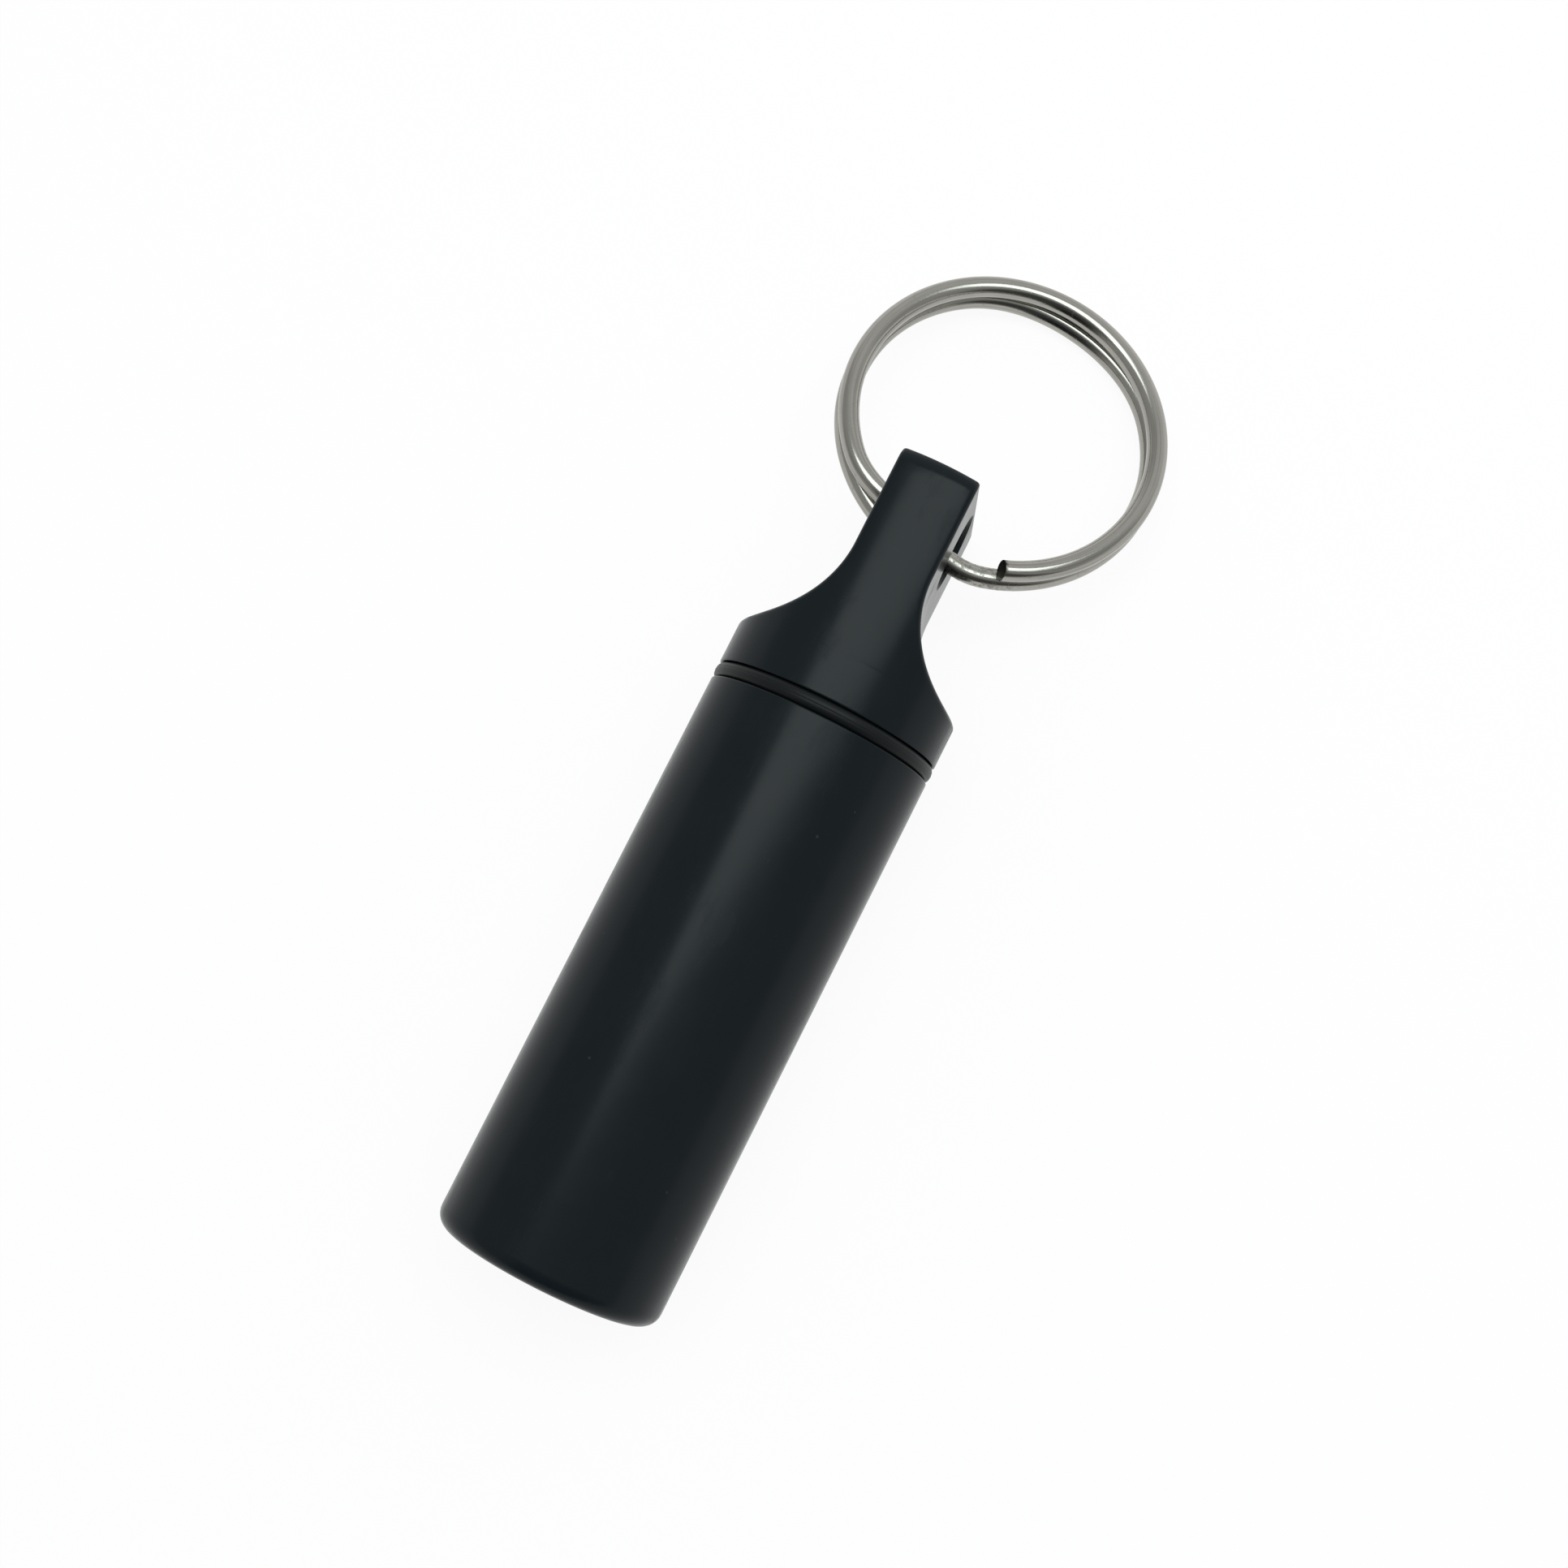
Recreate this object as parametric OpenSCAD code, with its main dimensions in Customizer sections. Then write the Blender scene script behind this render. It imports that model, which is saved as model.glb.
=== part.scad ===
// Pill fob for a key ring: a turned case, a screw cap with a flat tang, a seal ring and a split ring.
// The fob lies on its side, as laid on a table. The origin is the centre of the case's flat base,
// +X runs along the case towards the key ring and +Z is up. All sizes are in millimetres.

/* [Case] */
// Outside diameter of the case and the cap
case_d = 15.88; // [15.4:0.02:16.4]
// Length of the case from its base to its mouth
case_l = 39.7; // [34:0.1:46]
// Rounding of the base edge
base_round = 1.2; // [0.4:0.1:1.6]
// Flat of the case's base that stays under the drilled tip
base_wall = 2; // [1.5:0.1:3]
// Diameter of the drilled pill chamber
chamber_d = 11.5; // [11:0.1:11.6]
// Diameter of the case's threaded mouth at the thread roots
mouth_d = 12.76; // [12.7:0.02:12.9]
// Depth of the threaded mouth
mouth_l = 6.6; // [6.3:0.1:8]
// Bevel at the mouth's inner edge
mouth_bevel = 0.35; // [0.2:0.05:0.5]
// Edge break at the mouth's outer edge
edge_break = 0.12; // [0.05:0.01:0.2]

/* [Cap] */
// Length of the cap from the joint to the tip
cap_l = 16.95; // [15:0.05:19]
// Thickness of the flat tang
tang_t = 5.5; // [4.4:0.1:6]
// Radius of the curved shoulders that run into the tang
shoulder_r = 7.2; // [6.5:0.1:7.4]
// Length of the straight flats of the tang
flat_l = 7; // [6:0.1:8]
// Bevel turned on the cap's tip
tip_bevel = 0.5; // [0.2:0.05:0.8]
// Diameter of the hole for the split ring
hole_d = 5; // [4.8:0.1:5.2]
// Distance from the hole's centre to the tip
hole_back = 3.3; // [3.2:0.1:4]
// Bevel at both ends of the hole
hole_bevel = 0.3; // [0.1:0.05:0.4]
// Length of the screwed spigot under the cap
spigot_l = 6; // [5:0.1:6.2]
// Diameter of the spigot at the thread roots
spigot_d = 11.14; // [11:0.02:11.2]
// Length of the plain neck between the thread and the cap
neck_l = 1.9; // [1.5:0.1:2.4]
// Diameter of that neck, where the seal sits
neck_d = 11.8; // [11.6:0.05:11.8]
// Bevel at the spigot's end
spigot_bevel = 0.6; // [0.3:0.1:0.8]

/* [Seal] */
// Gap between the case and the cap that the seal fills
seal_gap = 1.15; // [1:0.05:1.4]
// Outside diameter of the squeezed seal
seal_d = 15.98; // [15.6:0.02:16.1]
// Clearance on each side of the seal
seal_clear = 0.02; // [0.01:0.01:0.04]
// Clearance between the seal and the cap's neck
neck_clear = 0.05; // [0.02:0.01:0.1]

/* [Split ring] */
// Wire diameter of the split ring
wire_d = 1.45; // [1.2:0.01:1.6]
// Diameter of the ring at the middle of its wire
ring_d = 21.68; // [20:0.02:24]
// Step from one turn of the ring to the next
turn_step = 1.5; // [1.46:0.02:1.7]
// Slope of the ring down to the table
ring_pitch = 15.7; // [12:0.1:18]
// Sideways lean of the ring
ring_roll = 5; // [0:0.1:6]
// Distance from the hole's axis back to the wire that rests in it
ring_back = 0.77; // [0.3:0.01:0.9]
// Sideways place of the ring's centre
ring_side = -1.6; // [-2:0.05:2]
// Angle of the ring's upper wire end, from its far side
wire_start = 203; // [200:1:215]
// Angle of the lower wire end on the other side of the tang
wire_stop = 152; // [140:1:154]
// Inward bow of the wire where it crosses through the hole
cross_bow = 0.8; // [0:0.05:0.8]
// Inward bow of the lower turn at its far side
far_bow = 0.33; // [0:0.01:0.4]

/* [Hidden] */
$fn = 96;
case_r = case_d / 2;
// Half the point angle of the drill that made the chamber
drill_half = 59;
drill_tip = chamber_d / 2 / tan(drill_half);
// The joint face of the cap, its tip and the hole's centre along the case
cap_x = case_l + seal_gap;
tip_x = cap_x + cap_l;
hole_x = tip_x - hole_back;
flat_x = tip_x - flat_l;
// The seal's half thickness along the case, and the middles of its two round edges
seal_half = seal_gap / 2 - seal_clear;
seal_out = seal_d / 2 - seal_half;
seal_in = neck_d / 2 + neck_clear + seal_half;
// The seal stands a little proud of the case, so it sets the height of the table
table_z = -seal_d / 2;
// The ring rests on the table at its far side and in the hole at its near side
ring_r = ring_d / 2;
ring_normal_x = cos(ring_roll) * sin(ring_pitch);
ring_x = hole_x - ring_back + ring_r * cos(ring_pitch) + turn_step / 2 * ring_normal_x;
// The wire's run in degrees, and the stretch in which it changes from the upper turn to the lower
run_start = wire_start;
run_stop = 720 + wire_stop;
cross_start = 360 + 146;
cross_stop = 360 + 200;
bow_start = 360 + 132;
bow_stop = 360 + 198;
far_start = 720 - 52;
far_stop = 720 + 38;
// Rings along the wire and sides round it
wire_rings = 116;
wire_sides = 12;
wire_step = (run_stop - run_start) / (wire_rings - 1);

// Share of the way through a stretch, from 0 before it to 1 after it
function share(a, from, to) = min(1, max(0, (a - from) / (to - from)));

// Height of the wire's middle above the ring's middle plane at angle a
function wire_level(a) = turn_step / 2 * cos(180 * share(a, cross_start, cross_stop));

// Radius of the wire's middle at angle a
function wire_radius(a) =
    ring_r
    - cross_bow * pow(sin(180 * share(a, bow_start, bow_stop)), 2)
    - far_bow * pow(sin(180 * share(a, far_start, far_stop)), 2);

// Middle of the wire at angle a, in the ring's own plane
function wire_point(a) = [wire_radius(a) * cos(a), wire_radius(a) * sin(a), wire_level(a)];

// Height of a point of the wire over the ring's centre, as the ring lies
function height(point) =
    cos(ring_pitch) * (sin(ring_roll) * point.y + cos(ring_roll) * point.z) - sin(ring_pitch) * point.x;

// Height of the ring's centre, which puts the wire's lowest point on the table
ring_z = table_z + wire_d / 2 - min([for (a = [run_start : 1 : run_stop]) height(wire_point(a))]);

// Direction of the wire at angle a
function wire_way(a) =
    let (d = wire_point(a + 0.5) - wire_point(a - 0.5))
    d / norm(d);

// One ring of points round the wire, square to its direction
function wire_ring(a) =
    let (
        way = wire_way(a),
        out = [cos(a), sin(a), 0],
        side = cross(way, out) / norm(cross(way, out)),
        up = cross(side, way)
    )
    [for (k = [0 : wire_sides - 1])
        wire_point(a)
        + wire_d / 2 * (cos(360 * k / wire_sides) * up + sin(360 * k / wire_sides) * side)];

// Least gap between the wire's two turns, measured on points along it
wire_gap = min([
    for (a = [run_start : 2 : run_stop - 300])
        for (b = [a + 300 : 2 : min(a + 420, run_stop)])
            norm(wire_point(a) - wire_point(b)) - wire_d
]);
echo(least_gap_between_turns = wire_gap);

// Turns a profile of radius against length about the case's axis
module turned() {
    rotate([0, 90, 0])
        rotate_extrude()
            children();
}

// Outline of the case: a rounded base edge and a broken edge at the mouth
module case_outline() {
    square([case_r - base_round, 2 * base_round]);
    translate([case_r - base_round, base_round])
        circle(r = base_round);
    polygon([
        [0, base_round],
        [case_r, base_round],
        [case_r, case_l - edge_break],
        [case_r - edge_break, case_l],
        [0, case_l]
    ]);
}

// The case: a turned tube with one closed end, drilled and bored for the thread
module case_body() {
    color("#26292b")
        difference() {
            turned()
                case_outline();
            // Drilled chamber with the cone that the drill leaves
            translate([base_wall + drill_tip, 0, 0])
                rotate([0, 90, 0])
                    cylinder(d = chamber_d, h = case_l);
            translate([base_wall, 0, 0])
                rotate([0, 90, 0])
                    cylinder(d1 = 0, d2 = chamber_d, h = drill_tip);
            // Threaded mouth at its root diameter, with a bevelled entry
            translate([case_l - mouth_l, 0, 0])
                rotate([0, 90, 0])
                    cylinder(d = mouth_d, h = mouth_l + 1);
            translate([case_l - mouth_bevel, 0, 0])
                rotate([0, 90, 0])
                    cylinder(d1 = mouth_d, d2 = mouth_d + 4 * mouth_bevel, h = 2 * mouth_bevel);
        }
}

// The space that one side's cutter clears beside the tang, in plan
module flat_cutter(side) {
    mirror([0, side < 0 ? 1 : 0, 0])
        translate([0, 0, -case_d]) {
            translate([flat_x, tang_t / 2 + shoulder_r, 0])
                cylinder(r = shoulder_r, h = 2 * case_d, $fn = 128);
            translate([flat_x, tang_t / 2, 0])
                cube([flat_l + 1, case_d, 2 * case_d]);
        }
}

// The cap: turned body with a bevelled tip, milled to a tang and drilled across
module cap() {
    color("#26292b")
        difference() {
            translate([cap_x, 0, 0])
                turned()
                    polygon([
                        [0, -seal_gap - spigot_l],
                        [spigot_d / 2 - spigot_bevel, -seal_gap - spigot_l],
                        [spigot_d / 2, -seal_gap - spigot_l + spigot_bevel],
                        [spigot_d / 2, -neck_l],
                        [neck_d / 2, -neck_l],
                        [neck_d / 2, 0],
                        [case_r - edge_break, 0],
                        [case_r, edge_break],
                        [case_r, cap_l - tip_bevel],
                        [case_r - tip_bevel, cap_l],
                        [0, cap_l]
                    ]);
            for (side = [-1, 1])
                flat_cutter(side);
            // Hole for the split ring, bevelled on both faces
            translate([hole_x, 0, 0])
                rotate([90, 0, 0])
                    cylinder(d = hole_d, h = case_d, center = true);
            for (side = [-1, 1])
                translate([hole_x, side * tang_t / 2, 0])
                    rotate([-side * 90, 0, 0])
                        translate([0, 0, -hole_bevel])
                            cylinder(d1 = hole_d, d2 = hole_d + 4 * hole_bevel, h = 2 * hole_bevel);
        }
}

// The seal: a rubber ring squeezed flat between the mouth and the cap
module seal_ring() {
    color("#1c1d1e")
        translate([case_l + seal_gap / 2, 0, 0])
            turned() {
                translate([seal_in, 0])
                    circle(r = seal_half, $fn = 48);
                translate([seal_in, -seal_half])
                    square([seal_out - seal_in, 2 * seal_half]);
                translate([seal_out, 0])
                    circle(r = seal_half, $fn = 48);
            }
}

// The split ring: one round wire wound in two close turns, which cross over inside the hole
module split_ring() {
    points = [for (i = [0 : wire_rings - 1]) each wire_ring(run_start + i * wire_step)];
    last = (wire_rings - 1) * wire_sides;
    start_face = [[for (k = [0 : wire_sides - 1]) k]];
    stop_face = [[for (k = [wire_sides - 1 : -1 : 0]) last + k]];
    side_faces = [
        for (i = [0 : wire_rings - 2])
            for (k = [0 : wire_sides - 1])
                let (
                    a = i * wire_sides + k,
                    b = i * wire_sides + (k + 1) % wire_sides
                )
                each [[a, a + wire_sides, b], [b, a + wire_sides, b + wire_sides]]
    ];
    color("#9c9b93")
        translate([ring_x, ring_side, ring_z])
            rotate([ring_roll, ring_pitch, 0])
                polyhedron(points = points, faces = concat(start_face, side_faces, stop_face), convexity = 6);
}

case_body();
cap();
seal_ring();
split_ring();
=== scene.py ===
import math

import bmesh
import bpy
import numpy as np
from mathutils import Matrix, Vector


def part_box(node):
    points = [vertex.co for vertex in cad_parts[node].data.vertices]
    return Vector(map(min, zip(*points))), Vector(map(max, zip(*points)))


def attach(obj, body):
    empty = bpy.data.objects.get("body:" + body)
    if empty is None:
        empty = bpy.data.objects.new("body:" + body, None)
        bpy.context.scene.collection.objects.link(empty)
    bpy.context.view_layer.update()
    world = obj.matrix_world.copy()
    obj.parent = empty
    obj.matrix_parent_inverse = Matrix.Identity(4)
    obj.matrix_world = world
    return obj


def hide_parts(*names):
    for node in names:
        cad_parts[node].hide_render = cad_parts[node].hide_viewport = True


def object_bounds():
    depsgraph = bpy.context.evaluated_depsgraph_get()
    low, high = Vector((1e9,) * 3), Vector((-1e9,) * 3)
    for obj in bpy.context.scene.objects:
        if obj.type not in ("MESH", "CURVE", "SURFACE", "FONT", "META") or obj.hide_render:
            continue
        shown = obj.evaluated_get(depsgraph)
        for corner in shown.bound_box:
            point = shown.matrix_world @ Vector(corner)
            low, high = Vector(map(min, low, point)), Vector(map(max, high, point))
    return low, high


bl_info = {
    "name": "Pill fob keychain",
    "version": (1, 0, 0),
    "blender": (4, 5, 0),
    "location": "3D View > Sidebar > Pill fob",
    "description": "Builds a turned pill fob with its screw cap, seal and split ring",
    "category": "Object",
}

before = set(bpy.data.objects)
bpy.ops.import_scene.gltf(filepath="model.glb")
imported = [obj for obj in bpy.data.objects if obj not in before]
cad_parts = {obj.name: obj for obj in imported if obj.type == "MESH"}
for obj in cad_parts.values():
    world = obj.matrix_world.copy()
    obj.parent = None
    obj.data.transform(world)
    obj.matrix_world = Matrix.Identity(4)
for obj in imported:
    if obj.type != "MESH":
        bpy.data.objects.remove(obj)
cad_low, cad_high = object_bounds()
_, case_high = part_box("case_body")
cap_low, cap_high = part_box("cap")
seal_low, seal_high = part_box("seal_ring")

MM = 0.001
AROUND = 144  # sides of a turned piece
WELD = 1e-6  # points closer than this become one
SMOOTH_ANGLE = math.radians(32)  # edges sharper than this stay sharp
HEAD_X = seal_high.x + 0.02 * MM  # the cap's head begins just clear of the seal


# Node trees written as Python expressions


class Value:
    """A node's output. Arithmetic on it adds the Math node for each operation."""

    def __init__(self, graph, socket):
        self.graph = graph
        self.socket = socket

    def other(self, name):
        """Another output of the same node."""
        return Value(self.graph, self.socket.node.outputs[name])

    def __add__(self, right):
        return self.graph.math("ADD", self, right)

    def __sub__(self, right):
        return self.graph.math("SUBTRACT", self, right)

    def __rsub__(self, left):
        return self.graph.math("SUBTRACT", left, self)

    def __mul__(self, right):
        return self.graph.math("MULTIPLY", self, right)

    def __truediv__(self, right):
        return self.graph.math("DIVIDE", self, right)

    def __rtruediv__(self, left):
        return self.graph.math("DIVIDE", left, self)

    __radd__ = __add__
    __rmul__ = __mul__


class Graph:
    """Adds nodes to a node tree, each one row further on."""

    def __init__(self, tree):
        self.tree = tree
        self.made = 0

    def node(self, kind, settings=None, inputs=None, out=0):
        """Adds one node: its settings first, then the values or links of its sockets."""
        node = self.tree.nodes.new(kind)
        node.location = (self.made % 12 * 190, -(self.made // 12) * 260)
        self.made += 1
        for key, setting in (settings or {}).items():
            setattr(node, key, setting)
        for key, value in (inputs or {}).items():
            self.feed(node.inputs[key], value)
        return Value(self, node.outputs[out]) if len(node.outputs) else node

    def feed(self, socket, value):
        """Links a Value to a socket, or sets a plain value on it."""
        if isinstance(value, Value):
            self.tree.links.new(value.socket, socket)
        else:
            socket.default_value = value

    def math(self, operation, *values):
        return self.node("ShaderNodeMath", {"operation": operation}, dict(enumerate(values)))

    def vector(self, operation, *values):
        """Adds a Vector Math node, whose SCALE takes its factor at a socket of its own."""
        sockets = (0, "Scale") if operation == "SCALE" else range(len(values))
        return self.node(
            "ShaderNodeVectorMath", {"operation": operation}, dict(zip(sockets, values))
        )

    def join(self, x, y, z):
        return self.node("ShaderNodeCombineXYZ", None, {0: x, 1: y, 2: z})

    def split(self, vector):
        """The three parts of a vector."""
        first = self.node("ShaderNodeSeparateXYZ", None, {0: vector})
        return first, first.other("Y"), first.other("Z")

    def polar(self, radius, angle):
        """The two coordinates of the point at a radius and an angle."""
        return radius * self.math("COSINE", angle), radius * self.math("SINE", angle)

    def step(self, value, start, stop):
        """0 before start, 1 after stop and smooth in between, either way round."""
        return self.node(
            "ShaderNodeMapRange",
            {"interpolation_type": "SMOOTHSTEP"},
            {"Value": value, "From Min": start, "From Max": stop},
        )

    def share(self, value, start, stop):
        """How far a value has come from start to stop, from 0 to 1."""
        return self.node(
            "ShaderNodeMapRange", None, {"Value": value, "From Min": start, "From Max": stop}
        )

    def mix(self, share, first, second):
        """Mixes two colours, which have sockets 6 and 7 and output 2 of their node."""
        return self.node(
            "ShaderNodeMix", {"data_type": "RGBA"}, {"Factor": share, 6: first, 7: second}, out=2
        )

    def store(self, geometry, kind, name, value):
        """Keeps a value on each point as a named attribute, for the material to read."""
        return self.node(
            "GeometryNodeStoreNamedAttribute",
            {"data_type": kind, "domain": "POINT"},
            {"Geometry": geometry, "Name": name, "Value": value},
        )


def empty_graph(owner):
    """Turns on the nodes of a material or a world, clears them and gives its graph."""
    owner.use_nodes = True
    owner.node_tree.nodes.clear()
    return Graph(owner.node_tree)


def geometry_tree(name, sockets):
    """A Geometry Nodes tree with named inputs: gives it, its graph and its inputs as Values."""
    tree = bpy.data.node_groups.new(name, "GeometryNodeTree")
    tree.interface.new_socket("Geometry", in_out="INPUT", socket_type="NodeSocketGeometry")
    for label, kind in sockets.items():
        tree.interface.new_socket(label, in_out="INPUT", socket_type="NodeSocket" + kind)
    tree.interface.new_socket("Geometry", in_out="OUTPUT", socket_type="NodeSocketGeometry")
    graph = Graph(tree)
    start = graph.node("NodeGroupInput")
    return tree, graph, {label: start.other(label) for label in ("Geometry", *sockets)}


def end_tree(graph, geometry, material):
    """Ends a Geometry Nodes tree in Realize Instances and Set Material."""
    whole = graph.node("GeometryNodeRealizeInstances", None, {"Geometry": geometry})
    coated = graph.node("GeometryNodeSetMaterial", None, {"Geometry": whole, "Material": material})
    graph.node("NodeGroupOutput", None, {0: coated})


def grow(name, start, tree, values):
    """Runs a Geometry Nodes tree on a starting mesh and gives the result as a plain piece."""
    piece = bpy.data.objects.new(name, start)
    bpy.context.scene.collection.objects.link(piece)
    modifier = piece.modifiers.new(tree.name, "NODES")
    modifier.node_group = tree
    identifiers = {s.name: s.identifier for s in tree.interface.items_tree if s.in_out == "INPUT"}
    for label, value in values.items():
        modifier[identifiers[label]] = value
    return bake_modifiers(piece)


def bake_modifiers(piece):
    """Replaces a piece's mesh by its evaluated one and takes its modifiers off."""
    view = bpy.context.evaluated_depsgraph_get()
    mesh = bpy.data.meshes.new_from_object(piece.evaluated_get(view), depsgraph=view)
    old = piece.data
    piece.modifiers.clear()
    piece.data = mesh
    mesh.name = piece.name
    bpy.data.meshes.remove(old)
    return piece


def clean(piece):
    """Welds a piece's seams, drops faces without area and turns all faces outwards."""
    work = bmesh.new()
    work.from_mesh(piece.data)
    bmesh.ops.remove_doubles(work, verts=work.verts, dist=WELD)
    bmesh.ops.dissolve_degenerate(work, edges=work.edges, dist=WELD)
    bmesh.ops.recalc_face_normals(work, faces=work.faces)
    if work.calc_volume(signed=True) < 0:
        bmesh.ops.reverse_faces(work, faces=work.faces)
    open_edges = sum(not edge.is_manifold for edge in work.edges)
    work.to_mesh(piece.data)
    work.free()
    if open_edges:
        raise RuntimeError(f"{piece.name} has {open_edges} open edges")
    piece.data.shade_smooth()
    piece.data.set_sharp_from_angle(angle=SMOOTH_ANGLE)
    return piece


def combine(piece, tool, operation):
    """Joins a tool to a piece or cuts it out, and removes the tool."""
    modifier = piece.modifiers.new("Combine", "BOOLEAN")
    modifier.operation = operation
    modifier.solver = "EXACT"
    modifier.object = tool
    bake_modifiers(piece)
    bpy.data.objects.remove(tool)


def place(piece, body, node, material):
    """Gives a finished piece its material and its part in the frame."""
    piece.data.materials.clear()
    piece.data.materials.append(material)
    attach(piece, body)
    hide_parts(node)


# Turned pieces


def rounded(corners, steps=4, support=0.04 * MM):
    """A line through corners (x, radius from the axis, rounding), with arcs at the rounded ones.

    Straight stretches get a point close to each arc, so that the shading stays flat between them.
    """
    line = []
    for i, (x, y, rounding) in enumerate(corners):
        here = np.array([x, y])
        if not rounding or i in (0, len(corners) - 1):
            line.append(here)
            continue
        back = np.array(corners[i - 1][:2]) - here
        on = np.array(corners[i + 1][:2]) - here
        back, on = back / np.linalg.norm(back), on / np.linalg.norm(on)
        half = math.acos(np.clip(back @ on, -1, 1)) / 2
        reach = rounding / math.tan(half)
        centre = here + (back + on) / np.linalg.norm(back + on) * rounding / math.sin(half)
        first, last = here + back * reach - centre, here + on * reach - centre
        turn = math.pi - 2 * half
        line.append(centre + first + back * support)
        for k in range(steps + 1):
            a, b = math.sin(turn * (1 - k / steps)), math.sin(turn * k / steps)
            line.append(centre + (first * a + last * b) / math.sin(turn))
        line.append(centre + last + on * support)
    return [(float(p[0]), float(p[1]), 0.0, 0.0) for p in line]


def thread_line(start, stop, root, depth, crest, foot, middle, pitch):
    """Points of a thread's profile, which the turning tree slants along the helix.

    The ridge is crest wide at its top and foot wide at its root, and its middle passes x = middle
    on the side that faces +Y. The line begins a pitch early, because slanting moves it on by one.
    A stop below the start gives the line backwards, as the inside of a piece needs it.
    """
    step = 1 if stop > start else -1
    low, high = min(start, stop), max(start, stop)
    first = math.floor((low - middle) / pitch) - 1
    last = math.ceil((high - middle) / pitch) + 1
    line = []
    for k in range(first, last + 1):
        centre = middle + k * pitch
        for offset, share in ((-foot / 2, 0), (-crest / 2, 1), (crest / 2, 1), (foot / 2, 0)):
            line.append((centre + offset, root, 1.0, depth * share))
    return line[::step]


def profile_mesh(name, line):
    """A line of (x, radius, slant, ridge) as a mesh of edges with its slants and ridges."""
    mesh = bpy.data.meshes.new(name)
    edges = [(i, i + 1) for i in range(len(line) - 1)]
    mesh.from_pydata([(x, radius, 0) for x, radius, _, _ in line], edges, [])
    for column, label in ((2, "slant"), (3, "ridge")):
        attribute = mesh.attributes.new(label, "FLOAT", "POINT")
        attribute.data.foreach_set("value", [point[column] for point in line])
    return mesh


def turning_tree():
    """Turns a profile about the X axis. Points with a slant follow a helix, as a thread's do."""
    tree, graph, given = geometry_tree(
        "Turned piece",
        {
            "Sides": "Int",
            "Pitch": "Float",
            "Thread Start": "Float",
            "Thread End": "Float",
            "Run-out": "Float",
            "Material": "Material",
        },
    )
    rows = given["Sides"] + 1.0
    count = graph.node("GeometryNodeAttributeDomainSize", None, {0: given["Geometry"]})
    grid = graph.node("GeometryNodeMeshGrid", None, {"Vertices X": count, "Vertices Y": rows})
    index = graph.node("GeometryNodeInputIndex")
    column = graph.math("FLOOR", (index + 0.5) / rows)
    angle = (index - column * rows) / given["Sides"] * math.tau

    def sampled(kind, value):
        return graph.node(
            "GeometryNodeSampleIndex",
            {"data_type": kind},
            {"Geometry": given["Geometry"], "Value": value, "Index": column},
        )

    def named(label):
        return graph.node(
            "GeometryNodeInputNamedAttribute", {"data_type": "FLOAT"}, {"Name": label}
        )

    x, radius, _ = graph.split(sampled("FLOAT_VECTOR", graph.node("GeometryNodeInputPosition")))
    slant = sampled("FLOAT", named("slant"))
    ridge = sampled("FLOAT", named("ridge"))
    along = x + given["Pitch"] * angle / math.tau
    start, stop, run_out = given["Thread Start"], given["Thread End"], given["Run-out"]
    held = graph.math("MAXIMUM", start, graph.math("MINIMUM", stop, along))
    rise = graph.share(held, start, start + run_out)
    fall = graph.share(held, stop, stop - run_out)
    x = x + slant * (held - x)
    radius = radius + ridge * rise * fall
    wound = graph.join(x, *graph.polar(radius, angle))
    turned = graph.node("GeometryNodeSetPosition", None, {"Geometry": grid, "Position": wound})
    welded = graph.node(
        "GeometryNodeMergeByDistance", None, {"Geometry": turned, "Distance": WELD}
    )
    end_tree(graph, welded, given["Material"])
    return tree


def turn(name, line, material, thread=(0.0, 0.0), pitch=0.0, run_out=1.0):
    """A turned piece from its profile."""
    tree = bpy.data.node_groups.get("Turned piece") or turning_tree()
    values = {
        "Sides": AROUND,
        "Pitch": pitch,
        "Thread Start": thread[0],
        "Thread End": thread[1],
        "Run-out": run_out,
        "Material": material,
    }
    return clean(grow(name, profile_mesh(name, line), tree, values))


# Settings


def length(label, about, default):
    return bpy.props.FloatProperty(
        name=label, description=about, default=default, unit="LENGTH", precision=5
    )


def angle_of(label, about, degrees):
    return bpy.props.FloatProperty(
        name=label,
        description=about,
        default=math.radians(degrees),
        subtype="ANGLE",
        unit="ROTATION",
    )


def number(label, about, default, least=0.0):
    return bpy.props.FloatProperty(name=label, description=about, default=default, min=least)


def colour(label, about, default):
    return bpy.props.FloatVectorProperty(
        name=label, description=about, default=default, subtype="COLOR", size=3, min=0.0, max=1.0
    )


def share_of(label, about, default):
    return bpy.props.FloatProperty(
        name=label, description=about, default=default, subtype="FACTOR", min=0.0, max=1.0
    )


def group_of(kind, label, about):
    return bpy.props.PointerProperty(type=kind, name=label, description=about)


class CaseSettings(bpy.types.PropertyGroup):
    """Sizes of the case, the thread and the cap's spigot."""

    base_round: length("Base rounding", "Radius of the base's outer edge", 1.2 * MM)
    edge_break: length("Edge break", "Rounding of the mouth's outer edge", 0.12 * MM)
    chamber: length("Chamber diameter", "Diameter of the drilled chamber", 11.5 * MM)
    base_wall: length("Base wall", "Flat of the base under the drill's point", 2.0 * MM)
    mouth: length("Mouth diameter", "Diameter at the roots of the case's thread", 12.76 * MM)
    mouth_depth: length("Mouth depth", "Depth of the threaded mouth", 6.6 * MM)
    mouth_bevel: length("Mouth bevel", "Bevel at the mouth's inner edge", 0.35 * MM)
    pitch: length("Thread pitch", "Lift of the cap in one turn", 1.27 * MM)
    crest: length("Thread crest", "Diameter at the crests of the case's thread", 11.5 * MM)


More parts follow.
